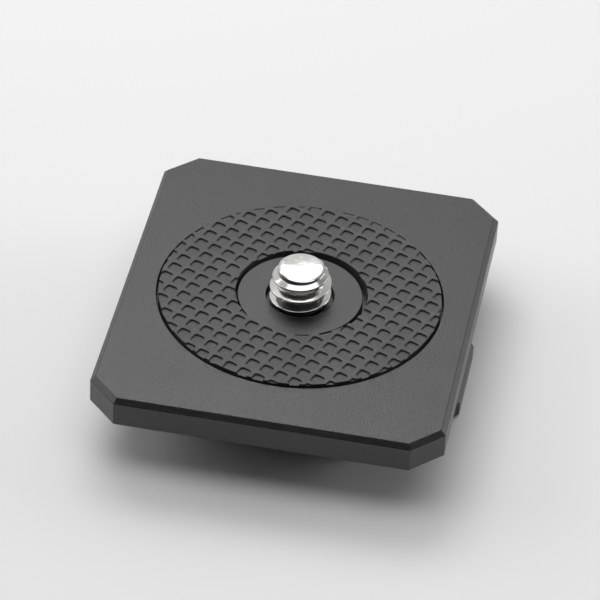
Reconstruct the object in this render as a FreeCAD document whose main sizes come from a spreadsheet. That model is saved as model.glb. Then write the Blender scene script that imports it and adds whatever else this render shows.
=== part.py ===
import FreeCAD, Part
import math
import os

import Sketcher

# A quick-release camera plate: a black aluminium plate with a dovetail foot, an embossed rubber
# grip ring let into its top face, and a captive camera screw that is turned by a folding wire bail.
# Millimetres and degrees. The foot stands on Z = 0 and the screw's axis is the Z axis.

SIZES = (
    # Slab, the part that carries the camera
    ("plate_width", "35.9"),
    ("plate_length", "41.3"),
    ("plate_height", "9.0"),
    ("slab_thickness", "3.4"),
    ("corner_cut", "3.05"),
    ("top_chamfer", "0.5"),
    ("bottom_chamfer", "0.35"),
    # Dovetail foot under the slab
    ("lip_width", "35.6"),
    ("neck_width", "30.0"),
    ("lip_height", "1.9"),
    ("flank_angle", "45"),
    ("foot_length", "25.8"),
    ("foot_corner_cut", "8.3"),
    ("foot_chamfer", "0.3"),
    ("slot_width", "9.0"),
    # Rubber grip ring and its seat
    ("ring_outer", "28.95"),
    ("ring_inner", "13.6"),
    ("ring_thickness", "1.5"),
    ("ring_proud", "0.3"),
    ("ring_outer_gap", "0.23"),
    ("ring_inner_gap", "0.4"),
    ("pit_pitch", "1.655"),
    ("pit_width", "1.2"),
    ("pit_depth", "0.2"),
    ("pit_angle", "-21.75"),
    ("pit_along", "0.455"),
    ("pit_across", "1.05"),
    # Camera screw
    ("stud_diameter", "6.35"),
    ("stud_projection", "3.65"),
    ("stud_tip", "5.1"),
    ("stud_tip_length", "0.45"),
    ("stud_tip_chamfer", "0.15"),
    ("thread_sink", "0.6"),
    ("mouth_diameter", "7.0"),
    ("mouth_clearance", "0.2"),
    ("web_hole", "5.3"),
    ("neck_clearance", "0.1"),
    ("head_diameter", "13.0"),
    ("head_thickness", "3.0"),
    ("head_setback", "1.6"),
    ("head_clearance", "0.1"),
    ("head_chamfer", "0.35"),
    ("coin_slot_width", "1.6"),
    ("coin_slot_depth", "1.2"),
    # Folding bail on the screw's head
    ("wire_diameter", "1.6"),
    ("bail_bend", "0.9"),
    ("bail_gap", "0.6"),
    ("bail_reach", "2.2"),
    ("bail_hole_clearance", "0.05"),
    ("bail_end_gap", "0.3"),
    ("recess_clearance", "0.4"),
)

doc = FreeCAD.newDocument("quick_release_plate")
dim = doc.addObject("Spreadsheet::Sheet", "dim")
for row, (alias, size) in enumerate(SIZES, start=1):
    dim.set("A%d" % row, alias)
    dim.set("B%d" % row, size)
    dim.setAlias("B%d" % row, alias)
doc.recompute()

# Heights and radii that several pieces share, as expressions in the sheet's sizes
SLAB_BOTTOM = "(dim.plate_height - dim.slab_thickness)"
SEAT_FLOOR = "(dim.plate_height - dim.ring_thickness + dim.ring_proud)"
RING_TOP = "(dim.plate_height + dim.ring_proud)"
HEAD_TOP = "(dim.head_setback + dim.head_thickness)"
RECESS_TOP = "(dim.head_setback + dim.head_thickness + dim.head_clearance)"
THREAD_START = "(dim.plate_height - dim.thread_sink)"
BAIL_RADIUS = "(dim.head_diameter / 2 + dim.bail_gap + dim.wire_diameter / 2)"
BAIL_HEIGHT = "(dim.head_setback + dim.head_thickness / 2)"
RECESS_RADIUS = "(dim.bail_bend + dim.wire_diameter / 2 + dim.recess_clearance + %s)" % BAIL_RADIUS


def new_body(label):
    body = doc.addObject("PartDesign::Body", label)
    body.Label = label
    return body


def new_sketch(body, name, plane, height="0"):
    """A sketch on one of the body's origin planes, lifted along that plane's normal."""
    sketch = body.newObject("Sketcher::SketchObject", name)
    base = [item for item in body.Origin.OriginFeatures if item.Role == plane][0]
    sketch.AttachmentSupport = [(base, "")]
    sketch.MapMode = "FlatFace"
    sketch.setExpression("AttachmentOffset.Base.z", height)
    return sketch


def bind(sketch, kind, first, point, size):
    """Dimensions a point from the sketch's origin by an expression."""
    index = sketch.addConstraint(Sketcher.Constraint(kind, -1, 1, first, point, 1.0))
    sketch.setExpression("Constraints[%d]" % index, size)


def add_outline(sketch, corners):
    """A closed outline of straight edges. Each corner is a pair of expressions."""
    start = sketch.GeometryCount
    count = len(corners)
    places = []
    for step in range(count):
        turn = 2 * math.pi * step / count
        places.append(FreeCAD.Vector(math.cos(turn), math.sin(turn), 0))
    for step in range(count):
        sketch.addGeometry(Part.LineSegment(places[step], places[(step + 1) % count]))
    for step in range(count):
        following = start + (step + 1) % count
        sketch.addConstraint(Sketcher.Constraint("Coincident", start + step, 2, following, 1))
    for step, (across, up) in enumerate(corners):
        bind(sketch, "DistanceX", start + step, 1, across)
        bind(sketch, "DistanceY", start + step, 1, up)


def add_circle(sketch, diameter, up="0"):
    """A circle on the sketch's vertical axis."""
    circle = sketch.addGeometry(Part.Circle(FreeCAD.Vector(0, 0, 0), FreeCAD.Vector(0, 0, 1), 1.0))
    bind(sketch, "DistanceX", circle, 3, "0")
    bind(sketch, "DistanceY", circle, 3, up)
    index = sketch.addConstraint(Sketcher.Constraint("Diameter", circle, 2.0))
    sketch.setExpression("Constraints[%d]" % index, diameter)


def cut_rectangle(width, length, cut):
    """Corners of a rectangle whose four corners are cut off at 45 degrees."""
    side = "%s / 2" % width
    end = "%s / 2" % length
    quarter = [(side, "(%s - %s)" % (end, cut)), ("(%s - %s)" % (side, cut), end)]
    left = [("-(%s)" % across, up) for across, up in reversed(quarter)]
    near = [("-(%s)" % across, "-(%s)" % up) for across, up in quarter]
    right = [(across, "-(%s)" % up) for across, up in reversed(quarter)]
    return quarter + left + near + right


def pad(body, name, sketch, length):
    feature = body.newObject("PartDesign::Pad", name)
    feature.Profile = sketch
    feature.setExpression("Length", length)
    doc.recompute()
    return feature


def pocket(body, name, sketch, length=None, upwards=False):
    """Cuts a sketch's outline to a length, or right through both ways where none is given."""
    before = body.Shape.Volume
    feature = body.newObject("PartDesign::Pocket", name)
    feature.Profile = sketch
    feature.Reversed = upwards
    if length is None:
        feature.SideType = "Symmetric"
        feature.Type = "ThroughAll"
    else:
        feature.setExpression("Length", length)
    doc.recompute()
    if body.Shape.Volume >= before:
        raise RuntimeError("%s cuts nothing" % name)
    return feature


def revolve(body, kind, name, sketch):
    """Turns a half profile right round the sketch's vertical axis."""
    feature = body.newObject("PartDesign::" + kind, name)
    feature.Profile = sketch
    feature.ReferenceAxis = (sketch, ["V_Axis"])
    feature.Angle = 360
    doc.recompute()
    return feature


def chamfer_level(body, name, base, height, size):
    """Breaks every straight edge that lies at one height."""
    edges = []
    for index, edge in enumerate(base.Shape.Edges, start=1):
        if all(abs(vertex.Z - height) < 1e-6 for vertex in edge.Vertexes):
            edges.append("Edge%d" % index)
    feature = body.newObject("PartDesign::Chamfer", name)
    feature.Base = (base, edges)
    feature.setExpression("Size", size)
    doc.recompute()
    return feature


# Plate, milled from one block of aluminium: the slab with its broken edges, the dovetail foot under
# it, then the turned seat, bore and recess, and last the slot that leaves room to swing the bail out.
plate = new_body("plate")
slab_plan = new_sketch(plate, "slab_plan", "XY_Plane", SLAB_BOTTOM)
add_outline(slab_plan, cut_rectangle("dim.plate_width", "dim.plate_length", "dim.corner_cut"))
slab = pad(plate, "slab", slab_plan, "dim.slab_thickness")
top_edges = chamfer_level(plate, "top_edges", slab, dim.plate_height, "dim.top_chamfer")
slab_bottom = dim.plate_height - dim.slab_thickness
chamfer_level(plate, "lower_edges", top_edges, slab_bottom, "dim.bottom_chamfer")

foot_plan = new_sketch(plate, "foot_plan", "XY_Plane")
add_outline(foot_plan, cut_rectangle("dim.lip_width", "dim.foot_length", "dim.foot_corner_cut"))
foot = pad(plate, "foot", foot_plan, SLAB_BOTTOM)
chamfer_level(plate, "foot_edges", foot, 0.0, "dim.foot_chamfer")

flank_rise = "((dim.lip_width - dim.neck_width) / 2 * tan(dim.flank_angle * 1 deg))"
jaw_grooves = new_sketch(plate, "jaw_grooves", "XZ_Plane")
for side in ("", "-"):
    lip = side + "dim.lip_width / 2"
    neck = side + "dim.neck_width / 2"
    add_outline(jaw_grooves, [
        (lip, "dim.lip_height"),
        (neck, "dim.lip_height + " + flank_rise),
        (neck, SLAB_BOTTOM),
        (lip, SLAB_BOTTOM),
    ])
pocket(plate, "dovetail", jaw_grooves)

turned_profile = new_sketch(plate, "turned_profile", "XZ_Plane")
add_outline(turned_profile, [
    ("(dim.ring_inner / 2 - dim.ring_inner_gap)", SEAT_FLOOR),
    ("(dim.ring_outer / 2 + dim.ring_outer_gap)", SEAT_FLOOR),
    ("(dim.ring_outer / 2 + dim.ring_outer_gap)", "dim.plate_height"),
    ("(dim.ring_inner / 2 - dim.ring_inner_gap)", "dim.plate_height"),
])
MOUTH_FLOOR = "(dim.plate_height - dim.thread_sink - dim.mouth_clearance)"
add_outline(turned_profile, [
    ("0", "0"),
    (RECESS_RADIUS, "0"),
    (RECESS_RADIUS, RECESS_TOP),
    ("dim.web_hole / 2", RECESS_TOP),
    ("dim.web_hole / 2", MOUTH_FLOOR),
    ("dim.mouth_diameter / 2", MOUTH_FLOOR),
    ("dim.mouth_diameter / 2", "dim.plate_height"),
    ("0", "dim.plate_height"),
])
revolve(plate, "Groove", "seat_and_bore", turned_profile)

slot_plan = new_sketch(plate, "slot_plan", "XY_Plane")
add_outline(slot_plan, [
    ("dim.slot_width / 2", "dim.foot_length / 2"),
    ("-dim.slot_width / 2", "dim.foot_length / 2"),
    ("-dim.slot_width / 2", "-dim.foot_length / 2"),
    ("dim.slot_width / 2", "-dim.foot_length / 2"),
])
pocket(plate, "bail_slot", slot_plan, RECESS_TOP, upwards=True)

# Grip ring, cut from a sheet of embossed rubber: a square lattice of pits runs across it, turned
# against the plate, and both rims cut through the pits that they meet.
grip_ring = new_body("grip_ring")
ring_plan = new_sketch(grip_ring, "ring_plan", "XY_Plane", SEAT_FLOOR)
add_circle(ring_plan, "dim.ring_outer")
add_circle(ring_plan, "dim.ring_inner")
pad(grip_ring, "ring", ring_plan, "dim.ring_thickness")

pits_each_way = math.ceil(dim.ring_outer / 2 / dim.pit_pitch) + 1
pit_plan = new_sketch(grip_ring, "pit_plan", "XY_Plane", RING_TOP)
pit_plan.AttachmentOffset = FreeCAD.Placement(
    FreeCAD.Vector(0, 0, 0), FreeCAD.Rotation(FreeCAD.Vector(0, 0, 1), dim.pit_angle))
near = "(%s - %d * dim.pit_pitch - dim.pit_width / 2)"
far = "(%s - %d * dim.pit_pitch + dim.pit_width / 2)"
left, right = [edge % ("dim.pit_along", pits_each_way) for edge in (near, far)]
low, high = [edge % ("dim.pit_across", pits_each_way) for edge in (near, far)]
add_outline(pit_plan, [(right, high), (left, high), (left, low), (right, low)])
doc.recompute()
pit = grip_ring.newObject("PartDesign::Pocket", "pit")
pit.Profile = pit_plan
pit.setExpression("Length", "dim.pit_depth")
doc.recompute()
pits = grip_ring.newObject("PartDesign::LinearPattern", "pits")
pits.Originals = [pit]
pits.Direction = (pit_plan, ["H_Axis"])
pits.Mode = "Spacing"
pits.setExpression("Offset", "dim.pit_pitch")
pits.Occurrences = 2 * pits_each_way + 1
pits.Direction2 = (pit_plan, ["V_Axis"])
pits.Mode2 = "Spacing"
pits.setExpression("Offset2", "dim.pit_pitch")
pits.Occurrences2 = 2 * pits_each_way + 1
grip_ring.Tip = pits
doc.recompute()

# Camera screw, turned from steel: the stud stands above the plate and ends in a plain tip, the neck
# runs in the web and keeps the screw captive, and the head has a coin slot and holes for the bail.
camera_screw = new_body("camera_screw")
screw_profile = new_sketch(camera_screw, "screw_profile", "XZ_Plane")
NECK_RADIUS = "(dim.web_hole / 2 - dim.neck_clearance)"
STUD_TOP = "(dim.plate_height + dim.stud_projection)"
TIP_BOTTOM = "(dim.plate_height + dim.stud_projection - dim.stud_tip_length)"
add_outline(screw_profile, [
    ("0", "dim.head_setback"),
    ("(dim.head_diameter / 2 - dim.head_chamfer)", "dim.head_setback"),
    ("dim.head_diameter / 2", "(dim.head_setback + dim.head_chamfer)"),
    ("dim.head_diameter / 2", HEAD_TOP),
    (NECK_RADIUS, HEAD_TOP),
    (NECK_RADIUS, THREAD_START),
    ("dim.stud_diameter / 2", "(%s + dim.stud_diameter / 2 - %s)" % (THREAD_START, NECK_RADIUS)),
    ("dim.stud_diameter / 2", "(%s - (dim.stud_diameter - dim.stud_tip) / 2)" % TIP_BOTTOM),
    ("dim.stud_tip / 2", TIP_BOTTOM),
    ("dim.stud_tip / 2", "(%s - dim.stud_tip_chamfer)" % STUD_TOP),
    ("(dim.stud_tip / 2 - dim.stud_tip_chamfer)", STUD_TOP),
    ("0", STUD_TOP),
])
revolve(camera_screw, "Revolution", "turned_screw", screw_profile)

coin_slot_plan = new_sketch(camera_screw, "coin_slot_plan", "XY_Plane", "dim.head_setback")
add_outline(coin_slot_plan, [
    ("dim.coin_slot_width / 2", "dim.head_diameter / 2"),
    ("-dim.coin_slot_width / 2", "dim.head_diameter / 2"),
    ("-dim.coin_slot_width / 2", "-dim.head_diameter / 2"),
    ("dim.coin_slot_width / 2", "-dim.head_diameter / 2"),
])
pocket(camera_screw, "coin_slot", coin_slot_plan, "dim.coin_slot_depth", upwards=True)

for side, sign, away in (("right", "", False), ("left", "-", True)):
    hole_plan = new_sketch(camera_screw, "hole_plan_" + side, "YZ_Plane", sign + "dim.head_diameter / 2")
    add_circle(hole_plan, "(dim.wire_diameter + 2 * dim.bail_hole_clearance)", BAIL_HEIGHT)
    pocket(camera_screw, "bail_hole_" + side, hole_plan, "(dim.bail_reach + dim.bail_end_gap)", upwards=away)

# Bail, bent from round spring wire: its two ends spring into the head's holes, and folded flat it
# lies round the head, inside the recess.
screw_bail = new_body("screw_bail")
bail_path = new_sketch(screw_bail, "bail_path", "XY_Plane", BAIL_HEIGHT)
bend = dim.bail_bend
radius = dim.head_diameter / 2 + dim.bail_gap + dim.wire_diameter / 2
inner_end = dim.head_diameter / 2 - dim.bail_reach
upward = FreeCAD.Vector(0, 0, 1)


def arc(middle, size, begin, end):
    circle = Part.Circle(FreeCAD.Vector(middle[0], middle[1], 0), upward, size)
    return Part.ArcOfCircle(circle, math.radians(begin), math.radians(end))


def straight(begin, end):
    return Part.LineSegment(FreeCAD.Vector(begin, 0, 0), FreeCAD.Vector(end, 0, 0))


right_end = bail_path.addGeometry(straight(inner_end, radius - bend))
right_bend = bail_path.addGeometry(arc((radius - bend, -bend), bend, 0, 90))
loop = bail_path.addGeometry(arc((0, -bend), radius, 180, 360))
left_bend = bail_path.addGeometry(arc((bend - radius, -bend), bend, 90, 180))
left_end = bail_path.addGeometry(straight(bend - radius, -inner_end))
# In a sketch, point 1 of an edge is its start, 2 its end and 3 its centre
for joint in (
    (right_end, 2, right_bend, 2),
    (right_bend, 1, loop, 2),
    (loop, 1, left_bend, 2),
    (left_bend, 1, left_end, 1),
):
    bail_path.addConstraint(Sketcher.Constraint("Tangent", *joint))
bail_path.addConstraint(Sketcher.Constraint("Equal", right_bend, left_bend))
bail_path.addConstraint(Sketcher.Constraint("Horizontal", right_end))
bail_path.addConstraint(Sketcher.Constraint("Horizontal", left_end))
bind(bail_path, "DistanceX", right_end, 1, "(dim.head_diameter / 2 - dim.bail_reach)")
bind(bail_path, "DistanceX", left_end, 2, "-(dim.head_diameter / 2 - dim.bail_reach)")
bind(bail_path, "DistanceY", right_end, 1, "0")
bind(bail_path, "DistanceY", left_end, 2, "0")
bind(bail_path, "DistanceX", loop, 3, "0")
bind(bail_path, "DistanceY", loop, 3, "-dim.bail_bend")
for curve, size in ((right_bend, "dim.bail_bend"), (loop, BAIL_RADIUS)):
    index = bail_path.addConstraint(Sketcher.Constraint("Radius", curve, 1.0))
    bail_path.setExpression("Constraints[%d]" % index, size)
wire_section = new_sketch(screw_bail, "wire_section", "YZ_Plane", "(dim.head_diameter / 2 - dim.bail_reach)")
add_circle(wire_section, "dim.wire_diameter", BAIL_HEIGHT)
doc.recompute()
bail_wire = screw_bail.newObject("PartDesign::AdditivePipe", "bail_wire")
bail_wire.Profile = wire_section
bail_wire.Spine = (bail_path, [])
doc.recompute()

NODES = (plate, grip_ring, camera_screw, screw_bail)
for item in doc.Objects:
    if "Invalid" in item.State or "Error" in item.State:
        raise RuntimeError("%s failed: %s" % (item.Name, item.getStatusString()))
for node in NODES:
    if node.Shape.isNull() or not node.Shape.isValid():
        raise RuntimeError("%s has no valid solid" % node.Label)
os.makedirs("parts", exist_ok=True)
for node in NODES:
    node.Shape.exportStep("parts/%s.step" % node.Label)
    print("%s: %d solid, %.2f mm3" % (node.Label, len(node.Shape.Solids), node.Shape.Volume))
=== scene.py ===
import math

import bmesh
import bpy
from mathutils import Matrix, Vector


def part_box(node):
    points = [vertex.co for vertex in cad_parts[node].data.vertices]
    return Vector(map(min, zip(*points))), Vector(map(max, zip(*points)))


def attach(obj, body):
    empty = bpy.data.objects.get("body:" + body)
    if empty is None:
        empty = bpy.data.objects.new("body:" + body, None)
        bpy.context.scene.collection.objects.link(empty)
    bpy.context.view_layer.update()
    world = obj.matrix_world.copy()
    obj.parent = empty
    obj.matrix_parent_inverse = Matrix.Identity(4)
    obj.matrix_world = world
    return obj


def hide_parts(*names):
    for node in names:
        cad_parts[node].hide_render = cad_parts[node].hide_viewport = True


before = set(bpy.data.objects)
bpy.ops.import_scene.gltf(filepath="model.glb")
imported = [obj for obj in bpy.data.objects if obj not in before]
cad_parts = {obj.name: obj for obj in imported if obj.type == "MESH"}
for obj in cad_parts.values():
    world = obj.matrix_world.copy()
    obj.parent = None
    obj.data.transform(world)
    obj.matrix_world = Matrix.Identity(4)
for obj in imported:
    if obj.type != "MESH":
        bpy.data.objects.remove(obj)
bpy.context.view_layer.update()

# The plate is one block of aluminium, milled with a dovetail foot and turned for the ring's seat and
# the screw. It is bead blasted, so its black anodising has a fine grain and a soft sheen.
mm = 0.001
plate_low, plate_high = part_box("plate")
plate_top = plate_high.z
slab_bottom = plate_top - 3.4 * mm
corner_cut = 3.05 * mm
top_chamfer = 0.5 * mm
lower_chamfer = 0.35 * mm
lip_width = 35.6 * mm
neck_width = 30.0 * mm
lip_height = 1.9 * mm
foot_length = 25.8 * mm
foot_corner_cut = 8.3 * mm
foot_chamfer = 0.3 * mm
bail_slot_width = 9.0 * mm
recess_radius = 10.0 * mm
recess_top = 4.7 * mm
web_hole_radius = 2.65 * mm
mouth_radius = 3.5 * mm
mouth_floor = plate_top - 0.8 * mm
seat_floor = plate_top - 1.2 * mm
seat_radius = 14.705 * mm
boss_radius = 6.4 * mm
edge_break = 0.07 * mm
overlap = 1.0 * mm
turning_steps = 160
same_height = 1e-4 * mm
same_place = 1e-5 * mm


def make_piece(name, mesh_data):
    """Turns a finished bmesh into an object of the scene."""
    mesh = bpy.data.meshes.new(name)
    mesh_data.to_mesh(mesh)
    mesh_data.free()
    piece = bpy.data.objects.new(name, mesh)
    bpy.context.scene.collection.objects.link(piece)
    return piece


def cut_corner_block(width, length, cut, low, high):
    """A block whose four upright corners are cut off at 45 degrees."""
    block = bmesh.new()
    bmesh.ops.create_cube(block, size=1)
    bmesh.ops.scale(block, vec=(width, length, high - low), verts=block.verts)
    bmesh.ops.translate(block, vec=(0, 0, (low + high) / 2), verts=block.verts)
    upright = [edge for edge in block.edges
               if abs(edge.verts[0].co.z - edge.verts[1].co.z) > (high - low) / 2]
    bmesh.ops.bevel(block, geom=upright, offset=cut, affect="EDGES", segments=1, profile=0.5, material=-1)
    return block


def chamfer_level(block, height, size):
    """Breaks every edge that lies at one height."""
    level = [edge for edge in block.edges
             if all(abs(corner.co.z - height) < same_height for corner in edge.verts)]
    bmesh.ops.bevel(block, geom=level, offset=size, affect="EDGES", segments=1, profile=0.5, material=-1)


def turned(profile, closed, steps=turning_steps, rounded=None, rounding=0.0):
    """A solid turned about the Z axis from radius and height pairs, with one corner rounded if asked."""
    solid = bmesh.new()
    corners = [solid.verts.new((radius, 0, height)) for radius, height in profile]
    for pair in zip(corners, corners[1:] + corners[:1] if closed else corners[1:]):
        solid.edges.new(pair)
    if rounded is not None:
        bmesh.ops.bevel(solid, geom=[corners[rounded]], offset=rounding, affect="VERTICES", segments=4,
                        profile=0.5, material=-1)
    bmesh.ops.spin(solid, geom=solid.verts[:] + solid.edges[:], cent=(0, 0, 0), axis=(0, 0, 1),
                   dvec=(0, 0, 0), angle=2 * math.pi, steps=steps, use_merge=True)
    bmesh.ops.remove_doubles(solid, verts=solid.verts, dist=same_place)
    bmesh.ops.recalc_face_normals(solid, faces=solid.faces)
    return solid


def prism(outline, offset):
    """A solid pulled from a flat outline along an offset."""
    solid = bmesh.new()
    face = solid.faces.new([solid.verts.new(corner) for corner in outline])
    pulled = bmesh.ops.extrude_face_region(solid, geom=[face])
    moved = [item for item in pulled["geom"] if isinstance(item, bmesh.types.BMVert)]
    bmesh.ops.translate(solid, vec=offset, verts=moved)
    bmesh.ops.recalc_face_normals(solid, faces=solid.faces)
    return solid


def settle(piece):
    """Makes a piece's modifiers part of its mesh."""
    graph = bpy.context.evaluated_depsgraph_get()
    finished = bpy.data.meshes.new_from_object(piece.evaluated_get(graph))
    piece.modifiers.clear()
    piece.data = finished


def combine(piece, operation, *tools):
    """Cuts, joins or trims a piece with other solids, which are used up."""
    for solid in tools:
        tool = make_piece("tool", solid)
        step = piece.modifiers.new("tool", "BOOLEAN")
        step.operation = operation
        step.solver = "EXACT"
        step.object = tool
        settle(piece)
        bpy.data.objects.remove(tool)


def soften_edges(piece, width, segments, angle):
    """Rounds the edges that turn by more than an angle, as tumbling or blasting does."""
    rounding = piece.modifiers.new("edge_break", "BEVEL")
    rounding.width = width
    rounding.segments = segments
    rounding.limit_method = "ANGLE"
    rounding.angle_limit = math.radians(angle)
    rounding.use_clamp_overlap = False
    rounding.harden_normals = True
    for face in piece.data.polygons:
        face.use_smooth = True
    settle(piece)


plate_width = plate_high.x - plate_low.x
plate_length = plate_high.y - plate_low.y
slab = cut_corner_block(plate_width, plate_length, corner_cut, slab_bottom, plate_top)
chamfer_level(slab, plate_top, top_chamfer)
chamfer_level(slab, slab_bottom, lower_chamfer)
foot = cut_corner_block(lip_width, foot_length, foot_corner_cut, plate_low.z, slab_bottom + overlap)
chamfer_level(foot, plate_low.z, foot_chamfer)
flank_rise = (lip_width - neck_width) / 2
jaw_grooves = []
for side in (1, -1):
    outside = side * (lip_width / 2 + overlap)
    outline = [
        (outside, -foot_length, lip_height - overlap),
        (side * neck_width / 2, -foot_length, lip_height + flank_rise),
        (side * neck_width / 2, -foot_length, slab_bottom),
        (outside, -foot_length, slab_bottom),
    ]
    jaw_grooves.append(prism(outline, (0, 2 * foot_length, 0)))
ring_seat = turned([
    (boss_radius, seat_floor),
    (seat_radius, seat_floor),
    (seat_radius, plate_top + overlap),
    (boss_radius, plate_top + overlap),
], closed=True)
screw_bore = turned([
    (0, -overlap),
    (recess_radius, -overlap),
    (recess_radius, recess_top),
    (web_hole_radius, recess_top),
    (web_hole_radius, mouth_floor),
    (mouth_radius, mouth_floor),
    (mouth_radius, plate_top + overlap),
    (0, plate_top + overlap),
], closed=False)
slot_side = bail_slot_width / 2
bail_slot = prism([
    (slot_side, -foot_length, -overlap),
    (slot_side, -foot_length, recess_top),
    (-slot_side, -foot_length, recess_top),
    (-slot_side, -foot_length, -overlap),
], (0, 2 * foot_length, 0))

foot_piece = make_piece("foot", foot)
combine(foot_piece, "DIFFERENCE", *jaw_grooves)
foot = bmesh.new()
foot.from_mesh(foot_piece.data)
bpy.data.objects.remove(foot_piece)
plate = make_piece("anodised_plate", slab)
combine(plate, "UNION", foot)
combine(plate, "DIFFERENCE", ring_seat, screw_bore, bail_slot)
soften_edges(plate, edge_break, segments=2, angle=25)


def new_group(name, inputs, outputs):
    """A shader node group with named float inputs and outputs, and its inner ends."""
    group = bpy.data.node_groups.new(name, "ShaderNodeTree")
    for label, value in inputs:
        socket = group.interface.new_socket(label, in_out="INPUT", socket_type="NodeSocketFloat")
        socket.default_value = value
    for label in outputs:
        group.interface.new_socket(label, in_out="OUTPUT", socket_type="NodeSocketFloat")
    return group, group.nodes.new("NodeGroupInput"), group.nodes.new("NodeGroupOutput")


# Fine grain: a speckle of one grain size for bump, and a slow drift for smudges and uneven dye
grain, grain_in, grain_out = new_group(
    "fine_grain", [("Grains per metre", 10000.0), ("Drifts per metre", 90.0)], ["Speckle", "Drift"])
grain_place = grain.nodes.new("ShaderNodeTexCoord")
for label, detail, output in (("Grains per metre", 2.0, "Speckle"), ("Drifts per metre", 4.0, "Drift")):
    noise = grain.nodes.new("ShaderNodeTexNoise")
    noise.inputs["Detail"].default_value = detail
    noise.inputs["Roughness"].default_value = 0.6
    grain.links.new(grain_place.outputs["Object"], noise.inputs["Vector"])
    spread = grain.nodes.new("ShaderNodeMapRange")
    spread.inputs["From Min"].default_value = 0.3
    spread.inputs["From Max"].default_value = 0.7
    grain.links.new(grain_in.outputs[label], noise.inputs["Scale"])
    grain.links.new(noise.outputs["Fac"], spread.inputs["Value"])
    grain.links.new(spread.outputs["Result"], grain_out.inputs[output])


def new_finish(name, grains, drifts):
    """A material with the fine grain group beside its shader."""
    finish = bpy.data.materials.new(name)
    finish.use_nodes = True
    nodes = finish.node_tree.nodes
    texture = nodes.new("ShaderNodeGroup")
    texture.node_tree = grain
    texture.inputs["Grains per metre"].default_value = grains
    texture.inputs["Drifts per metre"].default_value = drifts
    return finish, nodes["Principled BSDF"], texture


def ramp(finish, source, low, high, target):
    """Spreads a mask between two values and feeds a socket with it."""
    spread = finish.node_tree.nodes.new("ShaderNodeMapRange")
    spread.inputs["To Min"].default_value = low
    spread.inputs["To Max"].default_value = high
    finish.node_tree.links.new(source, spread.inputs["Value"])
    finish.node_tree.links.new(spread.outputs["Result"], target)


def tint(finish, source, dark, light, target):
    """Mixes two colours by a mask and feeds a socket with them."""
    mix = finish.node_tree.nodes.new("ShaderNodeMix")
    mix.data_type = "RGBA"
    mix.inputs["A"].default_value = (*dark, 1)
    mix.inputs["B"].default_value = (*light, 1)
    finish.node_tree.links.new(source, mix.inputs["Factor"])
    finish.node_tree.links.new(mix.outputs["Result"], target)


def roughen(finish, source, shader, depth, strength):
    """Raises a surface by a mask, to a depth in metres."""
    bump = finish.node_tree.nodes.new("ShaderNodeBump")
    bump.inputs["Strength"].default_value = strength
    bump.inputs["Distance"].default_value = depth
    finish.node_tree.links.new(source, bump.inputs["Height"])
    finish.node_tree.links.new(bump.outputs["Normal"], shader.inputs["Normal"])


anodised, anodised_shader, anodised_grain = new_finish("black_anodised_blasted", grains=6000.0, drifts=110.0)
anodised_shader.inputs["IOR"].default_value = 1.6
tint(anodised, anodised_grain.outputs["Speckle"], dark=(0.004, 0.004, 0.0042),
     light=(0.016, 0.016, 0.0164), target=anodised_shader.inputs["Base Color"])
ramp(anodised, anodised_grain.outputs["Drift"], low=0.29, high=0.35,
     target=anodised_shader.inputs["Roughness"])
roughen(anodised, anodised_grain.outputs["Speckle"], anodised_shader, depth=0.02 * mm, strength=0.8)
plate.data.materials.append(anodised)
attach(plate, "plate")
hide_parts("plate")

# The grip ring is die-cut from embossed rubber sheet and glued into its seat. A square lattice of
# rounded pits crosses it, turned against the plate, and the two rims cut through the pits they meet.
ring_low, ring_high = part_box("grip_ring")
ring_radius = (ring_high.x - ring_low.x) / 2
ring_hole_radius = 6.8 * mm
ring_hole_shift = (0.12 * mm, 0.17 * mm, 0)
pit_pitch = 1.655 * mm
pit_width = 1.2 * mm
pit_depth = 0.2 * mm
pit_draft = 0.04 * mm
pit_corner = 0.26 * mm
pit_rim = 0.03 * mm
pit_turn = math.radians(-21.75)
pit_shift = (0.455 * mm, 1.05 * mm, ring_high.z)
rows = 2 * math.ceil(ring_radius / pit_pitch + 1) + 1
rim_level = 0.001 * mm
wall_slope = 0.7
ring_steps = 240
ring_sharp_angle = math.radians(40)
sliver = 0.005 * mm

sheet = bmesh.new()
lattice_place = Matrix.Rotation(pit_turn, 4, "Z") @ Matrix.Translation(pit_shift)
bmesh.ops.create_grid(sheet, x_segments=rows, y_segments=rows, size=rows * pit_pitch / 2,
                      matrix=lattice_place)
pits = sheet.faces[:]
pit_margin = (pit_pitch - pit_width) / 2
bmesh.ops.inset_individual(sheet, faces=pits, thickness=pit_margin, use_even_offset=True)
bmesh.ops.inset_individual(sheet, faces=pits, thickness=pit_draft, use_even_offset=True)
floor_corners = list({corner for pit in pits for corner in pit.verts})
bmesh.ops.translate(sheet, vec=(0, 0, -pit_depth), verts=floor_corners)
wall_corners = [edge for edge in sheet.edges
                if abs(edge.verts[0].co.z - edge.verts[1].co.z) > pit_depth / 2]
bmesh.ops.bevel(sheet, geom=wall_corners, offset=pit_corner, affect="EDGES", segments=2, profile=0.5,
                material=-1)
sheet.normal_update()
rims = []
for edge in sheet.edges:
    level = all(abs(corner.co.z - ring_high.z) < rim_level for corner in edge.verts)
    if level and any(abs(face.normal.z) < wall_slope for face in edge.link_faces):
        rims.append(edge)
bmesh.ops.bevel(sheet, geom=rims, offset=pit_rim, affect="EDGES", segments=2, profile=0.5, material=-1)
border = [edge for edge in sheet.edges if edge.is_boundary]
pulled = bmesh.ops.extrude_edge_only(sheet, edges=border)["geom"]
underside = [item for item in pulled if isinstance(item, bmesh.types.BMVert)]
bmesh.ops.translate(sheet, vec=(0, 0, ring_low.z - ring_high.z), verts=underside)
underside_edges = [item for item in pulled if isinstance(item, bmesh.types.BMEdge)]
bmesh.ops.contextual_create(sheet, geom=underside_edges)
bmesh.ops.recalc_face_normals(sheet, faces=sheet.faces)
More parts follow.
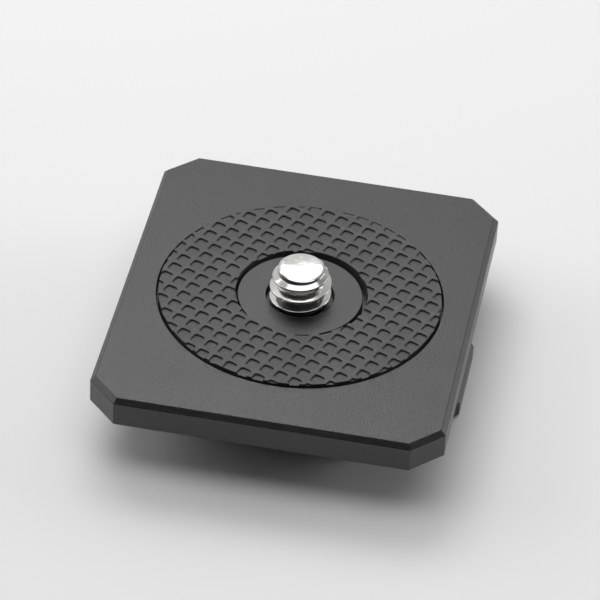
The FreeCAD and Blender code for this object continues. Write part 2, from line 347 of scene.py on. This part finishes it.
grip_ring = make_piece("embossed_grip_ring", sheet)
blanks = []
for radius in (ring_radius, ring_hole_radius):
    blanks.append(turned([
        (0, ring_low.z - overlap),
        (radius, ring_low.z - overlap),
        (radius, ring_high.z + overlap),
        (0, ring_high.z + overlap),
    ], closed=False, steps=ring_steps))
disc, hole = blanks
bmesh.ops.translate(hole, vec=ring_hole_shift, verts=hole.verts)
combine(grip_ring, "INTERSECT", disc)
combine(grip_ring, "DIFFERENCE", hole)


def weld_slivers(piece):
    """Welds the slivers that cutting leaves behind, and keeps the mesh closed."""
    welded = bmesh.new()
    welded.from_mesh(piece.data)
    bmesh.ops.remove_doubles(welded, verts=welded.verts, dist=sliver)
    bmesh.ops.dissolve_degenerate(welded, edges=welded.edges, dist=sliver)
    idle = [corner for corner in welded.verts if len(corner.link_edges) == 2]
    for corner in idle:
        if all(len(face.verts) > 3 for face in corner.link_faces):
            bmesh.ops.dissolve_verts(welded, verts=[corner])
    loose = [edge for edge in welded.edges if not edge.link_faces]
    bmesh.ops.delete(welded, geom=loose, context="EDGES")
    border = [edge for edge in welded.edges if edge.is_boundary]
    bmesh.ops.holes_fill(welded, edges=border, sides=0)
    welded.to_mesh(piece.data)
    welded.free()


weld_slivers(grip_ring)
for face in grip_ring.data.polygons:
    face.use_smooth = True
grip_ring.data.set_sharp_from_angle(angle=ring_sharp_angle)

# Dust: pale specks where a few scattered points happen to lie on the surface
dust_colour = (0.42, 0.42, 0.41, 1)
dust, dust_in, dust_out = new_group("dust_specks", [("Specks per metre", 700.0)], ["Dust"])
dust_place = dust.nodes.new("ShaderNodeTexCoord")
dust_points = dust.nodes.new("ShaderNodeTexVoronoi")
dust_edge = dust.nodes.new("ShaderNodeMapRange")
dust_edge.inputs["From Min"].default_value = 0.02
dust_edge.inputs["From Max"].default_value = 0.05
dust_edge.inputs["To Min"].default_value = 1.0
dust_edge.inputs["To Max"].default_value = 0.0
dust.links.new(dust_place.outputs["Object"], dust_points.inputs["Vector"])
dust.links.new(dust_in.outputs["Specks per metre"], dust_points.inputs["Scale"])
dust.links.new(dust_points.outputs["Distance"], dust_edge.inputs["Value"])
dust.links.new(dust_edge.outputs["Result"], dust_out.inputs["Dust"])


def scatter_dust(finish, shader, density):
    """Lays pale specks of dust over a finish's colour."""
    nodes = finish.node_tree.nodes
    links = finish.node_tree.links
    specks = nodes.new("ShaderNodeGroup")
    specks.node_tree = dust
    specks.inputs["Specks per metre"].default_value = density
    clean = shader.inputs["Base Color"].links[0].from_socket
    mix = nodes.new("ShaderNodeMix")
    mix.data_type = "RGBA"
    mix.inputs["B"].default_value = dust_colour
    links.new(specks.outputs["Dust"], mix.inputs["Factor"])
    links.new(clean, mix.inputs["A"])
    links.new(mix.outputs["Result"], shader.inputs["Base Color"])


rubber, rubber_shader, rubber_grain = new_finish("embossed_black_rubber", grains=7000.0, drifts=160.0)
rubber_shader.inputs["Specular IOR Level"].default_value = 0.5
tint(rubber, rubber_grain.outputs["Speckle"], dark=(0.033, 0.033, 0.033), light=(0.066, 0.066, 0.066),
     target=rubber_shader.inputs["Base Color"])
scatter_dust(rubber, rubber_shader, density=700.0)
ramp(rubber, rubber_grain.outputs["Drift"], low=0.4, high=0.5, target=rubber_shader.inputs["Roughness"])
roughen(rubber, rubber_grain.outputs["Speckle"], rubber_shader, depth=0.03 * mm, strength=0.3)
grip_ring.data.materials.append(rubber)
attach(grip_ring, "plate")
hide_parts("grip_ring")

# The camera screw is turned steel with bright nickel plate. Its rolled thread stands above the plate,
# and under it are a plain neck and a flat head with a coin slot and a hole each side for the bail.
screw_low, screw_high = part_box("camera_screw")
stud_radius = 3.175 * mm
thread_pitch = 1.27 * mm
thread_depth = 0.8 * mm
crest_half = 0.08 * mm
root_half = 0.22 * mm
crest_round = 0.05 * mm
crest_height = plate_top + 0.48 * mm
thread_turns = 8
steps_per_turn = 72
end_radius = 2.2 * mm
end_slope = 0.7
end_round = 0.1 * mm
# The thread runs out: height of its crest above the plate, and the share of its depth left there
run_out = [(1.75 * mm, 1.0), (2.2 * mm, 0.75), (3.0 * mm, 0.63), (3.3 * mm, 0.0)]
crest_clear = 0.2 * mm
thread_weld = 0.002 * mm
thread_sharp_angle = math.radians(12)
neck_radius = 2.55 * mm
thread_start = plate_top - 0.6 * mm
head_radius = (screw_high.x - screw_low.x) / 2
head_bottom = screw_low.z
head_top = head_bottom + 3.0 * mm
head_chamfer = 0.35 * mm
coin_slot_width = 1.6 * mm
coin_slot_depth = 1.2 * mm
bail_height = (head_bottom + head_top) / 2
bail_hole_radius = 0.85 * mm
bail_hole_depth = 2.5 * mm
head_break = 0.08 * mm

thread = bmesh.new()
first_crest = crest_height - thread_turns / 2 * thread_pitch
section = [
    (stud_radius - thread_depth, -thread_pitch / 2),
    (stud_radius - thread_depth, root_half - thread_pitch / 2),
    (stud_radius, -crest_half),
    (stud_radius, crest_half),
    (stud_radius - thread_depth, thread_pitch / 2 - root_half),
    (stud_radius - thread_depth, thread_pitch / 2),
]
corners = [thread.verts.new((radius, 0, first_crest + height)) for radius, height in section]
for pair in zip(corners, corners[1:]):
    thread.edges.new(pair)
bmesh.ops.bevel(thread, geom=corners[1:-1], offset=crest_round, affect="VERTICES", segments=3, profile=0.5,
                material=-1)
bmesh.ops.spin(thread, geom=thread.verts[:] + thread.edges[:], cent=(0, 0, 0), axis=(0, 0, 1),
               dvec=(0, 0, thread_pitch / steps_per_turn), angle=2 * math.pi * thread_turns,
               steps=steps_per_turn * thread_turns)
bmesh.ops.remove_doubles(thread, verts=thread.verts, dist=thread_weld)
root_radius = stud_radius - thread_depth
for corner in thread.verts:
    turn = math.atan2(corner.co.y, corner.co.x) / (2 * math.pi)
    turn += round((corner.co.z - crest_height) / thread_pitch - turn)
    crest = crest_height + turn * thread_pitch - plate_top
    share = 1.0
    for (low, full), (high, part) in zip(run_out, run_out[1:]):
        if crest > low:
            share = full + (part - full) * min(1.0, (crest - low) / (high - low))
    radius = math.hypot(corner.co.x, corner.co.y)
    scale = (root_radius + (radius - root_radius) * share) / radius
    corner.co.x *= scale
    corner.co.y *= scale
for height, keep_above in ((thread_start - overlap, True), (screw_high.z + overlap / 2, False)):
    bmesh.ops.bisect_plane(thread, geom=thread.verts[:] + thread.edges[:] + thread.faces[:],
                           plane_co=(0, 0, height), plane_no=(0, 0, 1),
                           clear_inner=keep_above, clear_outer=not keep_above)
    cut_edges = [edge for edge in thread.edges if edge.is_boundary
                 and all(abs(corner.co.z - height) < same_height for corner in edge.verts)]
    bmesh.ops.holes_fill(thread, edges=cut_edges, sides=0)
bmesh.ops.recalc_face_normals(thread, faces=thread.faces)
screw = make_piece("threaded_camera_screw", thread)
combine(screw, "INTERSECT", turned([
    (0, thread_start),
    (neck_radius, thread_start),
    (stud_radius + crest_clear, thread_start + stud_radius + crest_clear - neck_radius),
    (stud_radius + crest_clear, screw_high.z - end_slope * (stud_radius + crest_clear - end_radius)),
    (end_radius, screw_high.z),
    (0, screw_high.z),
], closed=False, rounded=4, rounding=end_round))

head = make_piece("head", turned([
    (0, head_bottom),
    (head_radius - head_chamfer, head_bottom),
    (head_radius, head_bottom + head_chamfer),
    (head_radius, head_top),
    (neck_radius, head_top),
    (neck_radius, thread_start + overlap / 4),
    (0, thread_start + overlap / 4),
], closed=False))
coin_side = coin_slot_width / 2
coin_slot = prism([
    (coin_side, -head_radius - overlap, head_bottom - overlap),
    (coin_side, -head_radius - overlap, head_bottom + coin_slot_depth),
    (-coin_side, -head_radius - overlap, head_bottom + coin_slot_depth),
    (-coin_side, -head_radius - overlap, head_bottom - overlap),
], (0, 2 * head_radius + 2 * overlap, 0))
combine(head, "DIFFERENCE", coin_slot)
for side in (1, -1):
    hole = bmesh.new()
    middle = side * (head_radius - bail_hole_depth / 2 + overlap / 2)
    hole_place = Matrix.Translation((middle, 0, bail_height)) @ Matrix.Rotation(math.pi / 2, 4, "Y")
    bmesh.ops.create_cone(hole, cap_ends=True, segments=40, radius1=bail_hole_radius,
                          radius2=bail_hole_radius, depth=bail_hole_depth + overlap, matrix=hole_place)
    combine(head, "DIFFERENCE", hole)
soften_edges(head, head_break, segments=2, angle=25)
lower_part = bmesh.new()
lower_part.from_mesh(head.data)
bpy.data.objects.remove(head)
combine(screw, "UNION", lower_part)
# The head brings stored normals along, which would smooth the edges of the thread
screw.data.attributes.remove(screw.data.attributes["custom_normal"])
weld_slivers(screw)
for face in screw.data.polygons:
    face.use_smooth = True
screw.data.set_sharp_from_angle(angle=thread_sharp_angle)

nickel, nickel_shader, nickel_grain = new_finish("bright_nickel_plate", grains=2500.0, drifts=700.0)
nickel_shader.inputs["Metallic"].default_value = 1.0
tint(nickel, nickel_grain.outputs["Drift"], dark=(0.66, 0.65, 0.63), light=(0.76, 0.75, 0.73),
     target=nickel_shader.inputs["Base Color"])
ramp(nickel, nickel_grain.outputs["Drift"], low=0.1, high=0.18, target=nickel_shader.inputs["Roughness"])
roughen(nickel, nickel_grain.outputs["Speckle"], nickel_shader, depth=0.02 * mm, strength=0.15)
screw.data.materials.append(nickel)
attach(screw, "screw")
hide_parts("camera_screw")

# The bail is bent from round spring wire. Its ends spring into the head's holes, and it folds flat
# round the head, inside the recess, until it is swung down to turn the screw.
bail_low, bail_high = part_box("screw_bail")
wire_radius = (bail_high.z - bail_low.z) / 2
loop_radius = (bail_high.x - bail_low.x) / 2 - wire_radius
bend_radius = 0.9 * mm
pin_depth = 2.2 * mm
pin_end = head_radius - pin_depth
pin_length = loop_radius - bend_radius - pin_end
wire_end_break = 0.15 * mm
wire_sharp_angle = math.radians(50)

wire = bmesh.new()
wire_start = Matrix.Translation((pin_end, 0, bail_height)) @ Matrix.Rotation(math.pi / 2, 4, "Y")
bmesh.ops.create_circle(wire, cap_ends=True, segments=28, radius=wire_radius, matrix=wire_start)


def draw_straight(end, offset):
    """Draws the wire straight on from its end face, and returns the new end."""
    drawn = bmesh.ops.extrude_face_region(wire, geom=[end])["geom"]
    moved = [item for item in drawn if isinstance(item, bmesh.types.BMVert)]
    bmesh.ops.translate(wire, vec=offset, verts=moved)
    return [item for item in drawn if isinstance(item, bmesh.types.BMFace)][0]


def draw_bend(end, middle, degrees, steps):
    """Bends the wire on round an upright axis, and returns the new end."""
    drawn = bmesh.ops.spin(wire, geom=[end], cent=(*middle, bail_height), axis=(0, 0, 1),
                           dvec=(0, 0, 0), angle=math.radians(degrees), steps=steps)["geom_last"]
    return [item for item in drawn if isinstance(item, bmesh.types.BMFace)][0]


first_end = wire.faces[:][0]
wire_end = draw_straight(first_end, (pin_length, 0, 0))
wire_end = draw_bend(wire_end, (loop_radius - bend_radius, -bend_radius), degrees=-90, steps=10)
wire_end = draw_bend(wire_end, (0, -bend_radius), degrees=-180, steps=72)
wire_end = draw_bend(wire_end, (bend_radius - loop_radius, -bend_radius), degrees=-90, steps=10)
wire_end = draw_straight(wire_end, (pin_length, 0, 0))
# The end faces that the wire was drawn on from are left inside it
inner_ends = [face for face in wire.faces if all(len(edge.link_faces) > 2 for edge in face.edges)]
bmesh.ops.delete(wire, geom=inner_ends, context="FACES_ONLY")
end_edges = [edge for edge in wire.edges if any(len(face.verts) > 4 for face in edge.link_faces)]
bmesh.ops.bevel(wire, geom=end_edges, offset=wire_end_break, affect="EDGES", segments=2, profile=0.5,
                material=-1)
bmesh.ops.recalc_face_normals(wire, faces=wire.faces)
bail = make_piece("wire_bail", wire)
for face in bail.data.polygons:
    face.use_smooth = True
bail.data.set_sharp_from_angle(angle=wire_sharp_angle)

spring_wire, wire_shader, wire_grain = new_finish("drawn_spring_wire", grains=5000.0, drifts=600.0)
wire_shader.inputs["Metallic"].default_value = 1.0
tint(spring_wire, wire_grain.outputs["Drift"], dark=(0.50, 0.50, 0.50), light=(0.64, 0.64, 0.63),
     target=wire_shader.inputs["Base Color"])
ramp(spring_wire, wire_grain.outputs["Drift"], low=0.24, high=0.38, target=wire_shader.inputs["Roughness"])
roughen(spring_wire, wire_grain.outputs["Speckle"], wire_shader, depth=0.01 * mm, strength=0.2)
bail.data.materials.append(spring_wire)
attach(bail, "bail")
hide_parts("screw_bail")

# The stage is a plain pale floor under soft studio light. A softbox behind the plate is mirrored by its
# top face and the screw's end, a broad one overhead lights the thread's flanks and two low ones the
# sides, while the side that faces the camera stays dark.
floor_size = 1.5
floor_mesh = bmesh.new()
bmesh.ops.create_grid(floor_mesh, x_segments=1, y_segments=1, size=floor_size)
floor = make_piece("studio_floor", floor_mesh)
paper = bpy.data.materials.new("pale_paper")
paper.use_nodes = True
paper_shader = paper.node_tree.nodes["Principled BSDF"]
paper_shader.inputs["Base Color"].default_value = (0.9, 0.9, 0.9, 1)
paper_shader.inputs["Roughness"].default_value = 0.9
paper_shader.inputs["Specular IOR Level"].default_value = 0.1
floor.data.materials.append(paper)

look_at = Vector((0, 0, plate_top))


def direction(azimuth, elevation):
    """Unit vector by degrees, with azimuth 0 on the camera's side (-Y) and 90 at the right (+X)."""
    turn = math.radians(azimuth)
    rise = math.radians(elevation)
    return Vector((math.sin(turn) * math.cos(rise), -math.cos(turn) * math.cos(rise), math.sin(rise)))


def softbox(name, azimuth, elevation, distance, width, height, power):
    """A rectangular soft light that faces the plate, with sizes in metres and power in watts."""
    lamp = bpy.data.lights.new(name, "AREA")
    lamp.shape = "RECTANGLE"
    lamp.size = width
    lamp.size_y = height
    lamp.energy = power
    light = bpy.data.objects.new(name, lamp)
    light.location = look_at + direction(azimuth, elevation) * distance
    light.rotation_euler = direction(azimuth, elevation).to_track_quat("Z", "Y").to_euler()
    bpy.context.scene.collection.objects.link(light)


softbox("back_softbox", azimuth=203, elevation=53.5, distance=0.3, width=0.2, height=0.133, power=0.28)
softbox("low_softbox", azimuth=115, elevation=15, distance=0.8, width=0.5, height=0.35, power=1.8)
softbox("top_softbox", azimuth=0, elevation=83, distance=0.82, width=1.1, height=0.46, power=2.0)
softbox("left_softbox", azimuth=265, elevation=25, distance=0.8, width=0.6, height=0.4, power=1.2)

# The room is brightest behind the plate
world = bpy.data.worlds.new("studio")
bpy.context.scene.world = world
world.use_nodes = True
sky = world.node_tree
sky_place = sky.nodes.new("ShaderNodeTexCoord")
sky_side = sky.nodes.new("ShaderNodeVectorMath")
sky_side.operation = "DOT_PRODUCT"
sky_side.inputs[1].default_value = direction(azimuth=203, elevation=35)
sky_level = sky.nodes.new("ShaderNodeMapRange")
sky_level.inputs["From Min"].default_value = 0.1
sky_level.inputs["From Max"].default_value = 0.95
sky_level.inputs["To Min"].default_value = 0.03
sky_level.inputs["To Max"].default_value = 0.75
sky.links.new(sky_place.outputs["Generated"], sky_side.inputs[0])
sky.links.new(sky_side.outputs["Value"], sky_level.inputs["Value"])
sky.links.new(sky_level.outputs["Result"], sky.nodes["Background"].inputs["Strength"])
sky.nodes["Background"].inputs["Color"].default_value = (1, 1, 1, 1)

# The camera stands where the photograph was taken from. Its place, roll and long lens were fitted to
# the plate's corners and the ring's circles.
camera_azimuth = 8.54
camera_elevation = 39.08
camera_roll = math.radians(-3.31)
camera_distance = 413.8 * mm
camera_offset = (0.01 * mm, -0.53 * mm)
focal_pixels = 4048.7
image_pixels = 600
back = direction(camera_azimuth, camera_elevation)
level_right = Vector((0, 0, 1)).cross(back).normalized()
level_up = back.cross(level_right)
camera_right = math.cos(camera_roll) * level_right - math.sin(camera_roll) * level_up
camera_up = back.cross(camera_right)
camera_place = look_at + back * camera_distance
camera_place += camera_up * camera_offset[1] - camera_right * camera_offset[0]
camera_data = bpy.data.cameras.new("photo_camera")
camera_data.lens = camera_data.sensor_width * focal_pixels / image_pixels
camera = bpy.data.objects.new("photo_camera", camera_data)
camera.matrix_world = Matrix((
    (camera_right.x, camera_up.x, back.x, camera_place.x),
    (camera_right.y, camera_up.y, back.y, camera_place.y),
    (camera_right.z, camera_up.z, back.z, camera_place.z),
    (0, 0, 0, 1),
))
bpy.context.scene.collection.objects.link(camera)
bpy.context.scene.camera = camera
bpy.context.scene.view_settings.view_transform = "Standard"
